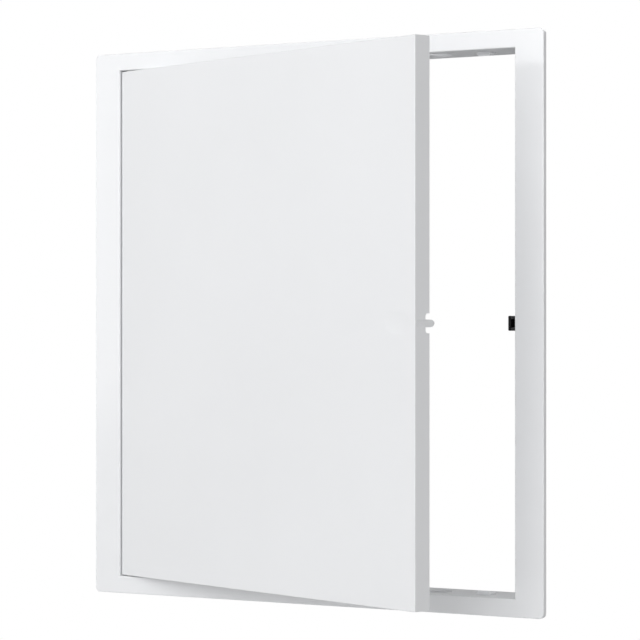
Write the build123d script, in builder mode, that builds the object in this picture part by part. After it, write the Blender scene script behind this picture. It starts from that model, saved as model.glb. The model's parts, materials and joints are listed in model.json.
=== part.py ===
from build123d import *

import math
import os

os.makedirs("parts", exist_ok=True)

# Clear opening, and the frame of folded sheet around it
opening_w = 299.0
opening_h = 350.0
sheet = 1.0
flange_side = 20.0
flange_end = 11.75
corner_r = 3.5
rim_depth = 3.9
hem = 6.0
collar_depth = 37.0
rear_lip = 2.4
edge_land = 0.3

# Door pan and its gaps in the opening
swing_gap = 0.3
gap_latch = 1.4
gap_end = 0.75
pan_depth = 12.1
door_edge_r = 0.4
open_angle = 20.2

# Pivot hinge
pin_r = 1.75
pin_fit = 0.05
pin_head_r = 2.6
pin_head_h = 1.75
bush_wall = 0.9
bush_collar = 0.4
bush_length = 4.0
bush_end_gap = 0.2
skin_gap = 0.1
edge_gap = 0.9

# Finger dimple, set in from the free edge
dimple_w = 23.2
dimple_h = 14.6
dimple_depth = 0.6
dimple_inset = 15.8

# Spear latch: notch and coined groove in the door's edge, tongue through the notch
notch_h = 12.1
notch_depth = 3.3
notch_r = 1.8
groove_w = 4.2
groove_depth = 0.6
groove_start = 1.5
tongue_h = 4.8
tongue_t = 2.0
tongue_edge_r = 0.8
tongue_out = 5.6
tongue_nose = 3.6
tongue_root = 3.0
tongue_plate_h = 14.0

# Snap catch
catch_out = 10.4
catch_gap = 1.0
slot_fit = 0.2
jaw_h = 2.2
jaw_flat = 0.3
jaw_length = 6.0
cheek = 1.8
catch_length = 8.0
catch_edge_r = 0.7
ear_t = 1.6

# Door stops on the collars, set in from the opening's sides
stop_w = 9.9
stop_h = 2.5
stop_slope = 1.0
stop_gap = 1.5
stop_inset = 28.0
stop_foot = 8.0

# Fixing holes in the top and bottom collars, set in from the door stops
fixing_r = 9.0
fixing_depth = 19.0
fixing_offset = 35.0

frame_w = opening_w + 2 * flange_side
frame_h = opening_h + 2 * flange_end
mid_z = (frame_h - hem) / 2
fold_r = sheet - edge_land

# The hinge axis lies just clear of the skin and the hinge return; the gap lets the folded edge swing past
bush_r = pin_r + pin_fit + bush_wall
bush_proud = gap_end - bush_end_gap
hinge_setback = sheet + skin_gap + bush_collar + bush_r
hinge_inset = sheet + edge_gap + bush_collar + bush_r
edge_swing = math.hypot(hinge_inset - door_edge_r, hinge_setback - door_edge_r) + door_edge_r
gap_hinge = edge_swing - hinge_inset + swing_gap

door_w = opening_w - gap_hinge - gap_latch
door_h = opening_h - 2 * gap_end
stop_x = opening_w / 2 - stop_inset
fixing_x = stop_x - fixing_offset
fixing_y = fixing_depth - rim_depth
notch_base = pan_depth - notch_depth
groove_r = ((groove_w / 2) ** 2 + groove_depth**2) / (2 * groove_depth)
slot_h = tongue_h + 2 * slot_fit
catch_h = slot_h + 2 * jaw_h
ear_length = collar_depth - 2 * sheet - pan_depth - catch_gap - jaw_length - catch_length

front = Plane(origin=(0, -rim_depth, mid_z), x_dir=(1, 0, 0), z_dir=(0, -1, 0))
ends = (("top", 1), ("bottom", -1))

# Door axes at rest: hinge axis, direction to the free edge, direction into the wall
swing = math.radians(open_angle)
axis_x = -opening_w / 2 + gap_hinge + hinge_inset
axis_y = hinge_setback - rim_depth
along = Vector(math.cos(swing), -math.sin(swing), 0)
inward = Vector(math.sin(swing), math.cos(swing), 0)
axis_mid = Vector(axis_x, axis_y, mid_z)
free_edge = axis_mid + along * (door_w - hinge_inset) - inward * hinge_setback

door_mid = Plane(origin=axis_mid, x_dir=along, z_dir=(0, 0, 1))
door_low = door_mid.offset(-door_h / 2)
door_front = Plane(origin=axis_mid - inward * hinge_setback, x_dir=along, z_dir=-inward)
latch_face = Plane(origin=free_edge, x_dir=inward, z_dir=along)
groove_end = Plane(origin=free_edge + inward * groove_start, x_dir=along, z_dir=inward)


# Flange: one ring without joints, its rim turned back to the wall and hemmed
with BuildPart() as frame_flange:
    with BuildSketch(front):
        RectangleRounded(frame_w, frame_h, corner_r)
        Rectangle(opening_w, opening_h, mode=Mode.SUBTRACT)
    extrude(amount=-sheet)
    with BuildSketch(front):
        RectangleRounded(frame_w, frame_h, corner_r)
        RectangleRounded(frame_w - 2 * sheet, frame_h - 2 * sheet, corner_r - sheet, mode=Mode.SUBTRACT)
    extrude(amount=-rim_depth)
    with BuildSketch(front.offset(-rim_depth)):
        RectangleRounded(frame_w, frame_h, corner_r)
        Rectangle(frame_w - 2 * hem, frame_h - 2 * hem, mode=Mode.SUBTRACT)
    extrude(amount=sheet)
    fillet(frame_flange.faces().sort_by(Axis.Y)[0].edges(), fold_r)
frame_flange.part.label = "frame_flange"
export_step(frame_flange.part, "parts/frame_flange.step")

# Collars: strips that line the opening behind the flange, each with a lip turned out at the rear
collars = (
    ("top", Vector(0, 0, 1), opening_h, opening_w),
    ("bottom", Vector(0, 0, -1), opening_h, opening_w),
    ("hinge", Vector(-1, 0, 0), opening_w, opening_h + 2 * sheet),
    ("latch", Vector(1, 0, 0), opening_w, opening_h + 2 * sheet),
)
for side, outward, across, length in collars:
    edge = front.origin + outward * (across / 2)
    edge_plane = Plane(origin=edge, x_dir=(0, 1, 0), z_dir=Vector(0, 1, 0).cross(outward))
    with BuildPart() as collar:
        with BuildSketch(edge_plane) as section:
            with BuildLine():
                Polyline(
                    (sheet, 0),
                    (collar_depth, 0),
                    (collar_depth, sheet + rear_lip),
                    (collar_depth - sheet, sheet + rear_lip),
                    (collar_depth - sheet, sheet),
                    (sheet, sheet),
                    close=True,
                )
            make_face()
            fillet(section.vertices().sort_by_distance((collar_depth, 0))[0], fold_r)
        extrude(amount=length / 2, both=True)

        # fixing holes and the pivot's hole
        if side in ("top", "bottom"):
            with BuildSketch(Plane.XY.offset(edge.Z)):
                with Locations((-fixing_x, fixing_y), (fixing_x, fixing_y)):
                    Circle(fixing_r)
                with Locations((axis_x, axis_y)):
                    Circle(pin_r)
            extrude(amount=outward.Z * sheet, mode=Mode.SUBTRACT)
    collar.part.label = f"frame_collar_{side}"
    export_step(collar.part, f"parts/frame_collar_{side}.step")

# Door stops: a trapezoid lug with a foot flat on the collar behind it
stop_plane = front.offset(-pan_depth - stop_gap)
for end, up in ends:
    for side, across in (("latch", 1), ("hinge", -1)):
        stop_mid = across * stop_x
        stop_root = up * opening_h / 2
        stop_tip = up * (opening_h / 2 - stop_h)
        with BuildPart() as door_stop:
            with BuildSketch(stop_plane):
                with BuildLine():
                    Polyline(
                        (stop_mid - stop_w / 2, stop_root),
                        (stop_mid + stop_w / 2, stop_root),
                        (stop_mid + stop_w / 2 - stop_slope, stop_tip),
                        (stop_mid - stop_w / 2 + stop_slope, stop_tip),
                        close=True,
                    )
                make_face()
            extrude(amount=-sheet)
            with BuildSketch(stop_plane):
                with Locations((stop_mid, up * (opening_h - sheet) / 2)):
                    Rectangle(stop_w, sheet)
            extrude(amount=-stop_foot)
        door_stop.part.label = f"door_stop_{end}_{side}"
        export_step(door_stop.part, f"parts/door_stop_{end}_{side}.step")

# Snap catch on the latch collar: a block with a screw ear, a cheek that closes the slot, and two jaws
jaw_plane = front.offset(-pan_depth - catch_gap)
with BuildPart() as catch_body:
    with BuildSketch(jaw_plane.offset(-jaw_length)):
        with Locations(((opening_w - catch_out) / 2, 0)):
            Rectangle(catch_out, catch_h)
    extrude(amount=-catch_length)
    with BuildSketch(jaw_plane):
        with Locations((opening_w / 2 - catch_out + cheek / 2, 0)):
            Rectangle(cheek, catch_h)
    extrude(amount=-jaw_length)
    with BuildSketch(jaw_plane.offset(-jaw_length - catch_length)):
        with Locations(((opening_w - ear_t) / 2, 0)):
            Rectangle(ear_t, catch_h)
    extrude(amount=-ear_length)
    fillet(catch_body.edges().filter_by(Axis.Y).group_by(Axis.X)[0], catch_edge_r)
catch_body.part.label = "catch_body"
export_step(catch_body.part, "parts/catch_body.step")

for place, up in (("upper", 1), ("lower", -1)):
    with BuildPart() as jaw:
        with BuildSketch(jaw_plane):
            with Locations(((opening_w - catch_out + cheek) / 2, up * (slot_h + jaw_h) / 2)):
                Rectangle(catch_out - cheek, jaw_h)
        extrude(amount=-jaw_length)
        fillet(jaw.faces().sort_by(Axis.Y)[0].edges().filter_by(Axis.X), (jaw_h - jaw_flat) / 2)
    jaw.part.label = f"catch_{place}_jaw"
    export_step(jaw.part, f"parts/catch_{place}_jaw.step")

# Pivot studs: head outside the collar, shank through the collar into the door's bush
for end, up in ends:
    with BuildPart() as hinge_pin:
        with BuildSketch(Plane.XY.offset(mid_z + up * (opening_h / 2 + sheet))):
            with Locations((axis_x, axis_y)):
                Circle(pin_head_r)
        extrude(amount=up * pin_head_h)
        with BuildSketch(Plane.XY.offset(mid_z + up * (opening_h / 2 + sheet))):
            with Locations((axis_x, axis_y)):
                Circle(pin_r)
        extrude(amount=-up * (sheet + gap_end + sheet + bush_length))
    hinge_pin.part.label = f"hinge_pin_{end}"
    export_step(hinge_pin.part, f"parts/hinge_pin_{end}.step")

# Door: one folded pan, standing ajar
with BuildPart() as door_panel:
    with BuildSketch(door_low):
        with Locations((door_w / 2 - hinge_inset, pan_depth / 2 - hinge_setback)):
            Rectangle(door_w, pan_depth)
    extrude(amount=door_h)
    fillet(door_panel.faces().sort_by(Axis((0, 0, 0), inward))[0].edges(), door_edge_r)
    with BuildSketch(door_low.offset(sheet)):
        with Locations((door_w / 2 - hinge_inset, (pan_depth + sheet) / 2 - hinge_setback)):
            Rectangle(door_w - 2 * sheet, pan_depth - sheet)
    extrude(amount=door_h - 2 * sheet, mode=Mode.SUBTRACT)

    # pivot holes through the top and bottom returns
    with BuildSketch(door_low):
        Circle(bush_r)
    extrude(amount=door_h, mode=Mode.SUBTRACT)

    # finger dimple: a pad behind the skin, dished from the front
    dish_x = door_w - hinge_inset - dimple_inset
    dish_axis_y = -hinge_setback - ((dimple_h / 2) ** 2 - dimple_depth**2) / (2 * dimple_depth)
    with BuildSketch(door_front.offset(-sheet)):
        with Locations((dish_x, 0)):
            Ellipse(dimple_w / 2, dimple_h / 2)
    extrude(amount=-dimple_depth)
    with BuildSketch(door_mid):
        with BuildLine():
            ThreePointArc(
                (dish_x - dimple_w / 2, -hinge_setback),
                (dish_x, dimple_depth - hinge_setback),
                (dish_x + dimple_w / 2, -hinge_setback),
            )
            Polyline(
                (dish_x + dimple_w / 2, -hinge_setback),
                (dish_x + dimple_w / 2, dish_axis_y),
                (dish_x - dimple_w / 2, dish_axis_y),
                (dish_x - dimple_w / 2, -hinge_setback),
            )
        make_face()
    revolve(axis=Axis(door_mid.from_local_coords((dish_x, dish_axis_y, 0)), along), mode=Mode.SUBTRACT)

    # notch and coined groove in the latch return
    with BuildSketch(latch_face) as notch:
        with Locations((pan_depth, 0)):
            Rectangle(2 * notch_depth, notch_h)
        fillet(notch.vertices(), notch_r)
    extrude(amount=-sheet, mode=Mode.SUBTRACT)
    with BuildSketch(groove_end):
        with Locations((groove_r - groove_depth, 0)):
            Circle(groove_r)
    extrude(amount=notch_base - groove_start, mode=Mode.SUBTRACT)
door_panel.part.label = "door_panel"
export_step(door_panel.part, "parts/door_panel.step")

# Latch tongue: a rounded spear that passes out through the notch, on a plate fixed inside the latch return
with BuildPart() as latch_tongue:
    with BuildSketch(latch_face.offset(-sheet)):
        nose_start = pan_depth + tongue_out - tongue_nose
        with BuildLine():
            Polyline(
                (nose_start, -tongue_h / 2),
                (notch_base - tongue_root, -tongue_h / 2),
                (notch_base - tongue_root, tongue_h / 2),
                (nose_start, tongue_h / 2),
            )
            EllipticalCenterArc((nose_start, 0), tongue_nose, tongue_h / 2, start_angle=-90, arc_size=180)
        make_face()
    extrude(amount=-tongue_t)
    fillet(latch_tongue.faces().filter_by(Axis((0, 0, 0), along)).edges(), tongue_edge_r)
    with BuildSketch(latch_face.offset(-sheet)):
        with Locations(((notch_base + 2 * sheet) / 2, 0)):
            Rectangle(notch_base - 2 * sheet, tongue_plate_h)
    extrude(amount=-sheet)
latch_tongue.part.label = "latch_tongue"
export_step(latch_tongue.part, "parts/latch_tongue.step")

# Bearing bushes in the returns: a shoulder inside the pan, and an end that stands proud to run on the collar
for end, up in ends:
    with BuildPart() as hinge_bush:
        with BuildSketch(door_mid.offset(up * (door_h / 2 + bush_proud))):
            Circle(bush_r)
            Circle(pin_r + pin_fit, mode=Mode.SUBTRACT)
        extrude(amount=-up * (bush_proud + sheet))
        with BuildSketch(door_mid.offset(up * (door_h / 2 - sheet))):
            Circle(bush_r + bush_collar)
            Circle(pin_r + pin_fit, mode=Mode.SUBTRACT)
        extrude(amount=-up * bush_length)
    hinge_bush.part.label = f"hinge_bush_{end}"
    export_step(hinge_bush.part, f"parts/hinge_bush_{end}.step")
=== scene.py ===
"""Look of the white access panel: coated sheet, black snap catch, soft studio light."""

import json
import math

import bmesh
import bpy
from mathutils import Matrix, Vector


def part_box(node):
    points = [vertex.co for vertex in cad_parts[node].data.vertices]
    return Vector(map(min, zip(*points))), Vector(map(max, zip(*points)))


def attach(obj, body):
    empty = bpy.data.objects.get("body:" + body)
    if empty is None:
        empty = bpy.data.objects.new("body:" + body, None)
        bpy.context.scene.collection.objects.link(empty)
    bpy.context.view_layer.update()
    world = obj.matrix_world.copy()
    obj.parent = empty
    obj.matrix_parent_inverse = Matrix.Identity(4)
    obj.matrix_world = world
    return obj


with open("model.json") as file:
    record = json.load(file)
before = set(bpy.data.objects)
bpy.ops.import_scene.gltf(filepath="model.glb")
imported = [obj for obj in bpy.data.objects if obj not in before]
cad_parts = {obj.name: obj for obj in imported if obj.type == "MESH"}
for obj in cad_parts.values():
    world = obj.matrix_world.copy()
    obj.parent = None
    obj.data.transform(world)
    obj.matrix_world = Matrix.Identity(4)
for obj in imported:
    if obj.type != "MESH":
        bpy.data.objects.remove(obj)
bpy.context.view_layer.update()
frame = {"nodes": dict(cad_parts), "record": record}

# Camera, fitted to the photograph's edges: metres from the middle of the panel's front face
IMAGE_PX = 640
FOCAL_PX = 2455.5
HORIZON_PX = 323.3
SENSOR = 36.0
CAMERA_RIGHT = 0.7887
CAMERA_AWAY = 1.4259
CAMERA_TURN = math.radians(28.68)

# Floor, in metres below the middle of the panel
FLOOR_DROP = 1.2
FLOOR_SIZE = 5.0
FLOOR_DARK = (0.84, 0.84, 0.84)
FLOOR_LIGHT = (0.86, 0.86, 0.86)
FLOOR_CLOUD = 2.0
FLOOR_ROUGH = 0.9

# Soft light of the room: its strength in front and behind, and the dark band between them
ROOM_FRONT = 0.52
ROOM_BACK = 0.32
ROOM_DARK_BAND = (0.4, 0.6)

# Each lamp: its place in metres from the middle of the panel's front face, its size and its power
LAMPS = {
    "softbox": ((-1.1, -2.0, 0.45), (1.3, 1.2), 6.2),
    "front": ((0.0, -2.1, 0.8), (1.6, 1.5), 20.4),
    "side": ((2.0, -1.15, 0.3), (1.3, 1.3), 14.1),
    "top_left": ((-0.9, -1.0, 1.8), (1.3, 1.3), 10.8),
    "back": ((0.0, 1.9, 1.3), (1.8, 1.8), 16.0),
    "left": ((-2.2, 0.4, 0.2), (1.2, 1.2), 9.0),
}

# Range that noise values mostly stay in
NOISE_LOW = 0.3
NOISE_HIGH = 0.7

# Powder coat: two near shades, and the scales of its clouding, sheen and orange peel
COAT_DARK = (0.828, 0.837, 0.852)
COAT_LIGHT = (0.844, 0.853, 0.868)
COAT_UNEVEN = 0.03
COAT_CLOUD = 9.0
COAT_SHEEN = 40.0
COAT_PEEL = 700.0
COAT_BUMP = 0.05
# Share that darkens the collars' coat: painted shade for the shade that falls inside the frame's
# opening
COLLAR_PAINTED_SHADE = 0.9

# Moulded plastic
PLASTIC_UNEVEN = 0.06
PLASTIC_CLOUD = 300.0
PLASTIC_SHEEN = 500.0
PLASTIC_GRAIN = 2500.0
PLASTIC_BUMP = 0.2
CATCH_DARK, CATCH_LIGHT = (0.008, 0.008, 0.009), (0.014, 0.014, 0.015)
JAW_DARK, JAW_LIGHT = (0.020, 0.020, 0.022), (0.030, 0.030, 0.032)
BUSH_DARK, BUSH_LIGHT = (0.74, 0.74, 0.71), (0.8, 0.8, 0.77)

# Zinc plate
ZINC_DARK, ZINC_LIGHT = (0.55, 0.56, 0.58), (0.68, 0.69, 0.7)
ZINC_CLOUD = 600.0
ZINC_ROUGH = (0.25, 0.4)

BUMP_HEIGHT = 0.0001

# Small pieces, in metres. Profiles are pairs of height and radius, as shares of the piece's own
SEGMENTS = 48
SHARP_ANGLE = math.radians(35)
SUNK = 0.0002
SHEET = 0.001

SCREW_R = 0.00275
SCREW_H = 0.0016
SCREW_PROFILE = ((0.35, 1.0), (0.75, 0.9), (0.95, 0.75), (1.0, 0.65))
RECESS_ARM = 0.6
RECESS_WIDTH = 0.13
RECESS_FLOOR = 0.3
RECESS_TAPER = 0.8
EAR_T = 0.0016
EAR_LENGTH = 0.0079

WELD_R = 0.0017
WELD_H = 0.00022
WELD_PROFILE = ((0.0, 1.0), (1.0, 0.84), (1.0, 0.72), (0.2, 0.5), (0.1, 0.1))
FOOT_MIDDLE = 0.0035
PLATE_MIDDLE = 0.0123
PLATE_WELD_UP = 0.0047

STITCH_R = 0.0011
STITCH_LENGTH = 0.009
STITCH_RIPPLES = 6
STITCH_STEPS = 36
STITCH_RIPPLE = 0.14
STITCH_TAPER = 0.9
STITCH_PLACES = (0.005, 0.0205)


# Materials

def new_material(name):
    material = bpy.data.materials.new(name)
    material.use_nodes = True
    nodes = material.node_tree.nodes
    return material, nodes, material.node_tree.links, nodes["Principled BSDF"]


def noise(nodes, links, scale, detail=2.0):
    """Noise in object space, so that it keeps its place on the piece."""
    coordinates = nodes.new("ShaderNodeTexCoord")
    texture = nodes.new("ShaderNodeTexNoise")
    texture.inputs["Scale"].default_value = scale
    texture.inputs["Detail"].default_value = detail
    links.new(coordinates.outputs["Object"], texture.inputs["Vector"])
    return texture.outputs["Fac"]


def spread(nodes, links, value, low, high):
    """Maps a noise value onto low to high."""
    node = nodes.new("ShaderNodeMapRange")
    node.inputs["From Min"].default_value = NOISE_LOW
    node.inputs["From Max"].default_value = NOISE_HIGH
    node.inputs["To Min"].default_value = low
    node.inputs["To Max"].default_value = high
    links.new(value, node.inputs["Value"])
    return node.outputs["Result"]


def tint(nodes, links, value, dark, light):
    """Colour that drifts between two near shades."""
    ramp = nodes.new("ShaderNodeValToRGB")
    first, last = ramp.color_ramp.elements
    first.position, first.color = NOISE_LOW, (*dark, 1)
    last.position, last.color = NOISE_HIGH, (*light, 1)
    links.new(value, ramp.inputs["Fac"])
    return ramp.outputs["Color"]


def bump(nodes, links, height, shader, strength):
    node = nodes.new("ShaderNodeBump")
    node.inputs["Strength"].default_value = strength
    node.inputs["Distance"].default_value = BUMP_HEIGHT
    links.new(height, node.inputs["Height"])
    links.new(node.outputs["Normal"], shader.inputs["Normal"])


def powder_coat(name, rough, gloss, shade=1.0):
    """White powder coat: faint clouding, uneven sheen and a fine orange peel. A shade below 1
    darkens its colour as painted shade.
    """
    material, nodes, links, shader = new_material(name)
    # A shade below 1 scales both near shades down: painted shade
    dark, light = Vector(COAT_DARK) * shade, Vector(COAT_LIGHT) * shade
    cloud = noise(nodes, links, COAT_CLOUD)
    links.new(tint(nodes, links, cloud, dark, light), shader.inputs["Base Color"])
    sheen = noise(nodes, links, COAT_SHEEN)
    sheen = spread(nodes, links, sheen, rough - COAT_UNEVEN, rough + COAT_UNEVEN)
    links.new(sheen, shader.inputs["Roughness"])
    shader.inputs["Specular IOR Level"].default_value = gloss
    bump(nodes, links, noise(nodes, links, COAT_PEEL, 1.0), shader, COAT_BUMP)
    return material


def moulded_plastic(name, dark, light, rough, gloss):
    """Moulded plastic with a fine spark-eroded grain."""
    material, nodes, links, shader = new_material(name)
    cloud = noise(nodes, links, PLASTIC_CLOUD)
    links.new(tint(nodes, links, cloud, dark, light), shader.inputs["Base Color"])
    sheen = noise(nodes, links, PLASTIC_SHEEN)
    sheen = spread(nodes, links, sheen, rough - PLASTIC_UNEVEN, rough + PLASTIC_UNEVEN)
    links.new(sheen, shader.inputs["Roughness"])
    shader.inputs["Specular IOR Level"].default_value = gloss
    bump(nodes, links, noise(nodes, links, PLASTIC_GRAIN), shader, PLASTIC_BUMP)
    return material


def zinc(name):
    """Bright zinc plate with a little clouding."""
    material, nodes, links, shader = new_material(name)
    shader.inputs["Metallic"].default_value = 1.0
    cloud = noise(nodes, links, ZINC_CLOUD, 4.0)
    links.new(tint(nodes, links, cloud, ZINC_DARK, ZINC_LIGHT), shader.inputs["Base Color"])
    links.new(spread(nodes, links, cloud, *ZINC_ROUGH), shader.inputs["Roughness"])
    return material


finishes = {
    "frame_coat": powder_coat("frame_coat", 0.12, 0.5),
    "door_coat": powder_coat("door_coat", 0.12, 0.5),
    # The collars' coat is darker than the frame's: painted shade for the shade inside the opening
    "collar_coat": powder_coat("collar_coat", 0.7, 0.2, COLLAR_PAINTED_SHADE),
    "catch_plastic": moulded_plastic("catch_plastic", CATCH_DARK, CATCH_LIGHT, 0.6, 0.15),
    "jaw_plastic": moulded_plastic("jaw_plastic", JAW_DARK, JAW_LIGHT, 0.4, 0.4),
    "pin_steel": zinc("pin_steel"),
    "bush_nylon": moulded_plastic("bush_nylon", BUSH_DARK, BUSH_LIGHT, 0.4, 0.5),
}

# The door stops have a glossier coat than the collars that carry them
stop_finish = powder_coat("stop_coat", 0.55, 1.0)

for part in frame["record"]["subparts"]:
    mesh = frame["nodes"][part["node"]].data
    mesh.materials.clear()
    is_stop = part["node"].startswith("door_stop")
    mesh.materials.append(stop_finish if is_stop else finishes[part["material_slot"]])


# Small pieces on the hidden side: the catch's screw, spot welds and corner stitches

def skinned(name, rings, body, slot):
    """Closed piece skinned over rings of points."""
    count = len(rings[0])
    points = [point for ring in rings for point in ring]
    faces = [tuple(range(count)), tuple(range(len(points) - count, len(points)))]
    for start in range(0, len(points) - count, count):
        above = start + count
        for step in range(count):
            following = (step + 1) % count
            faces.append((start + step, start + following, above + following, above + step))
    mesh = bpy.data.meshes.new(name)
    mesh.from_pydata(points, [], faces)
    surface = bmesh.new()
    surface.from_mesh(mesh)
    bmesh.ops.recalc_face_normals(surface, faces=surface.faces)
    surface.to_mesh(mesh)
    surface.free()
    mesh.shade_smooth()
    mesh.set_sharp_from_angle(angle=SHARP_ANGLE)
    mesh.materials.append(finishes[slot])
    piece = bpy.data.objects.new(name, mesh)
    bpy.context.collection.objects.link(piece)
    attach(piece, body)


def ring(centre, facing, radius_at):
    """Points round an axis, at a radius that may change with the angle."""
    across = facing.orthogonal().normalized()
    up = facing.cross(across)
    points = []
    for step in range(SEGMENTS):
        angle = 2 * math.pi * step / SEGMENTS
        reach = across * math.cos(angle) + up * math.sin(angle)
        points.append(centre + radius_at(angle) * reach)
    return points


def plain(radius):
    return lambda angle: radius


def cross(length, half_width):
    """Outline of a cross recess, as a radius for each angle."""
    def radius_at(angle):
        off_arm = (angle + math.pi / 4) % (math.pi / 2) - math.pi / 4
        return min(length, half_width / max(abs(math.sin(off_arm)), half_width / length))
    return radius_at


def screw_head(name, place, facing, body, slot):
    """Pan head with a cross recess."""
    arm, width = SCREW_R * RECESS_ARM, SCREW_R * RECESS_WIDTH
    profile = [(-SUNK, plain(SCREW_R))]
    profile += [(SCREW_H * high, plain(SCREW_R * share)) for high, share in SCREW_PROFILE]
    profile.append((SCREW_H, cross(arm, width)))
    profile.append((SCREW_H * RECESS_FLOOR, cross(arm * RECESS_TAPER, width * RECESS_TAPER)))
    rings = [ring(place + facing * high, facing, shape) for high, shape in profile]
    skinned(name, rings, body, slot)


def spot_weld(name, place, facing, body, slot):
    """Coated spot weld: a low raised ring round a shallow crater."""
    rings = [ring(place - facing * SUNK, facing, plain(WELD_R))]
    for high, share in WELD_PROFILE:
        rings.append(ring(place + facing * high * WELD_H, facing, plain(WELD_R * share)))
    skinned(name, rings, body, slot)


def weld_stitch(name, start, run, body, slot):
    """Short rippled weld bead along an outside corner."""
    rings = []
    for step in range(STITCH_STEPS + 1):
        share = step / STITCH_STEPS
        wave = abs(math.cos(math.pi * STITCH_RIPPLES * share))
        ripple = 1 - STITCH_RIPPLE * (1 - wave)
        taper = math.sqrt(1 - STITCH_TAPER * (2 * share - 1) ** 6)
        shape = plain(STITCH_R * ripple * taper)
        rings.append(ring(start + run * share, run.normalized(), shape))
    skinned(name, rings, body, slot)


def catch_screw():
    low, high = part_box("catch_body")
    place = Vector((high.x - EAR_T, high.y - EAR_LENGTH / 2, (low.z + high.z) / 2))
    screw_head("catch_screw", place, Vector((-1, 0, 0)), "frame", "pin_steel")


def stop_welds():
    for end, up in (("top", 1), ("bottom", -1)):
        for side in ("latch", "hinge"):
            low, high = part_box(f"door_stop_{end}_{side}")
            root = high.z if up > 0 else low.z
            place = Vector(((low.x + high.x) / 2, high.y - FOOT_MIDDLE, root - up * SHEET))
            name = f"stop_weld_{end}_{side}"
            spot_weld(name, place, Vector((0, 0, -up)), "frame", "collar_coat")


def plate_welds():
    """Spot welds on the tongue's plate, placed along the door as it stands ajar."""
    joint = frame["record"]["behaviour"]["joints"][0]
    swing = math.radians(-joint["range_deg"][0])
    axis = Vector(joint["pos_m"])
    along = Vector((math.cos(swing), -math.sin(swing), 0))
    inward = Vector((math.sin(swing), math.cos(swing), 0))
    points = [vertex.co - axis for vertex in frame["nodes"]["latch_tongue"].data.vertices]
    face = axis + along * (max(point.dot(along) for point in points) - SHEET)
    face += inward * (max(point.dot(inward) for point in points) - PLATE_MIDDLE)
    for place, up in (("upper", 1), ("lower", -1)):
        rise = Vector((0, 0, up * PLATE_WELD_UP))
        spot_weld(f"plate_weld_{place}", face + rise, -along, "door", "door_coat")


def corner_stitches():
    run = Vector((0, -STITCH_LENGTH, 0))
    for end in ("top", "bottom"):
        low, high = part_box(f"frame_collar_{end}")
        level = high.z if end == "top" else low.z
        for side, across in (("hinge", low.x), ("latch", high.x)):
            for number, back in enumerate(STITCH_PLACES, 1):
                start = Vector((across, high.y - back, level))
                name = f"corner_stitch_{end}_{side}_{number}"
                weld_stitch(name, start, run, "frame", "collar_coat")


catch_screw()
stop_welds()
plate_welds()
corner_stitches()


# Studio: floor, world, lamps and camera

def panel_middle():
    """Middle of the frame's front face."""
    low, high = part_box("frame_flange")
    return Vector((0.0, low.y, (low.z + high.z) / 2))


def plain_floor(middle):
    place = middle - Vector((0, 0, FLOOR_DROP))
    bpy.ops.mesh.primitive_plane_add(size=FLOOR_SIZE, location=place)
    floor = bpy.context.object
    floor.name = "studio_floor"
    material, nodes, links, shader = new_material("studio_floor")
    shade = tint(nodes, links, noise(nodes, links, FLOOR_CLOUD), FLOOR_DARK, FLOOR_LIGHT)
    links.new(shade, shader.inputs["Base Color"])
    shader.inputs["Roughness"].default_value = FLOOR_ROUGH
    floor.data.materials.append(material)


def studio_world():
    """White to the eye and in reflections; soft room light from in front and from behind."""
    world = bpy.data.worlds.new("studio")
    world.use_nodes = True
    nodes, links = world.node_tree.nodes, world.node_tree.links
    background = nodes["Background"]
    background.inputs["Color"].default_value = (1, 1, 1, 1)

    direction = nodes.new("ShaderNodeTexCoord")
    axes = nodes.new("ShaderNodeSeparateXYZ")
    links.new(direction.outputs["Generated"], axes.inputs["Vector"])
    depth = nodes.new("ShaderNodeMapRange")
    depth.inputs["From Min"].default_value = -1.0
    depth.inputs["From Max"].default_value = 1.0
    links.new(axes.outputs["Y"], depth.inputs["Value"])
    room = nodes.new("ShaderNodeValToRGB")
    stops = room.color_ramp.elements
    stops[0].color = (ROOM_FRONT, ROOM_FRONT, ROOM_FRONT, 1)
    stops[1].color = (ROOM_BACK, ROOM_BACK, ROOM_BACK, 1)
    for position in ROOM_DARK_BAND:
        stops.new(position).color = (0, 0, 0, 1)
    links.new(depth.outputs["Result"], room.inputs["Fac"])

    path = nodes.new("ShaderNodeLightPath")
    strength = room.outputs["Color"]
    for ray in ("Is Camera Ray", "Is Glossy Ray", "Is Transmission Ray"):
        white = nodes.new("ShaderNodeMath")
        white.operation = "MAXIMUM"
        links.new(strength, white.inputs[0])
        links.new(path.outputs[ray], white.inputs[1])
        strength = white.outputs[0]
    links.new(strength, background.inputs["Strength"])
    bpy.context.scene.world = world


def area_light(name, place, aim, size, power):
    lamp = bpy.data.lights.new(name, "AREA")
    lamp.shape = "RECTANGLE"
    lamp.size, lamp.size_y = size
    lamp.energy = power
    holder = bpy.data.objects.new(name, lamp)
    holder.location = place
    holder.rotation_euler = (aim - place).to_track_quat("-Z", "Y").to_euler()
    bpy.context.collection.objects.link(holder)


def photo_camera(middle):
    data = bpy.data.cameras.new("photo_camera")
    data.sensor_width = SENSOR
    data.lens = FOCAL_PX / IMAGE_PX * SENSOR
    data.shift_y = (HORIZON_PX - IMAGE_PX / 2) / IMAGE_PX
    camera = bpy.data.objects.new("photo_camera", data)
    camera.location = middle + Vector((CAMERA_RIGHT, -CAMERA_AWAY, 0))
    camera.rotation_euler = (math.pi / 2, 0, CAMERA_TURN)
    bpy.context.collection.objects.link(camera)
    bpy.context.scene.camera = camera


middle = panel_middle()
plain_floor(middle)
studio_world()
for name, (place, size, power) in LAMPS.items():
    area_light(name, middle + Vector(place), middle, size, power)
photo_camera(middle)
bpy.context.scene.view_settings.view_transform = "Standard"
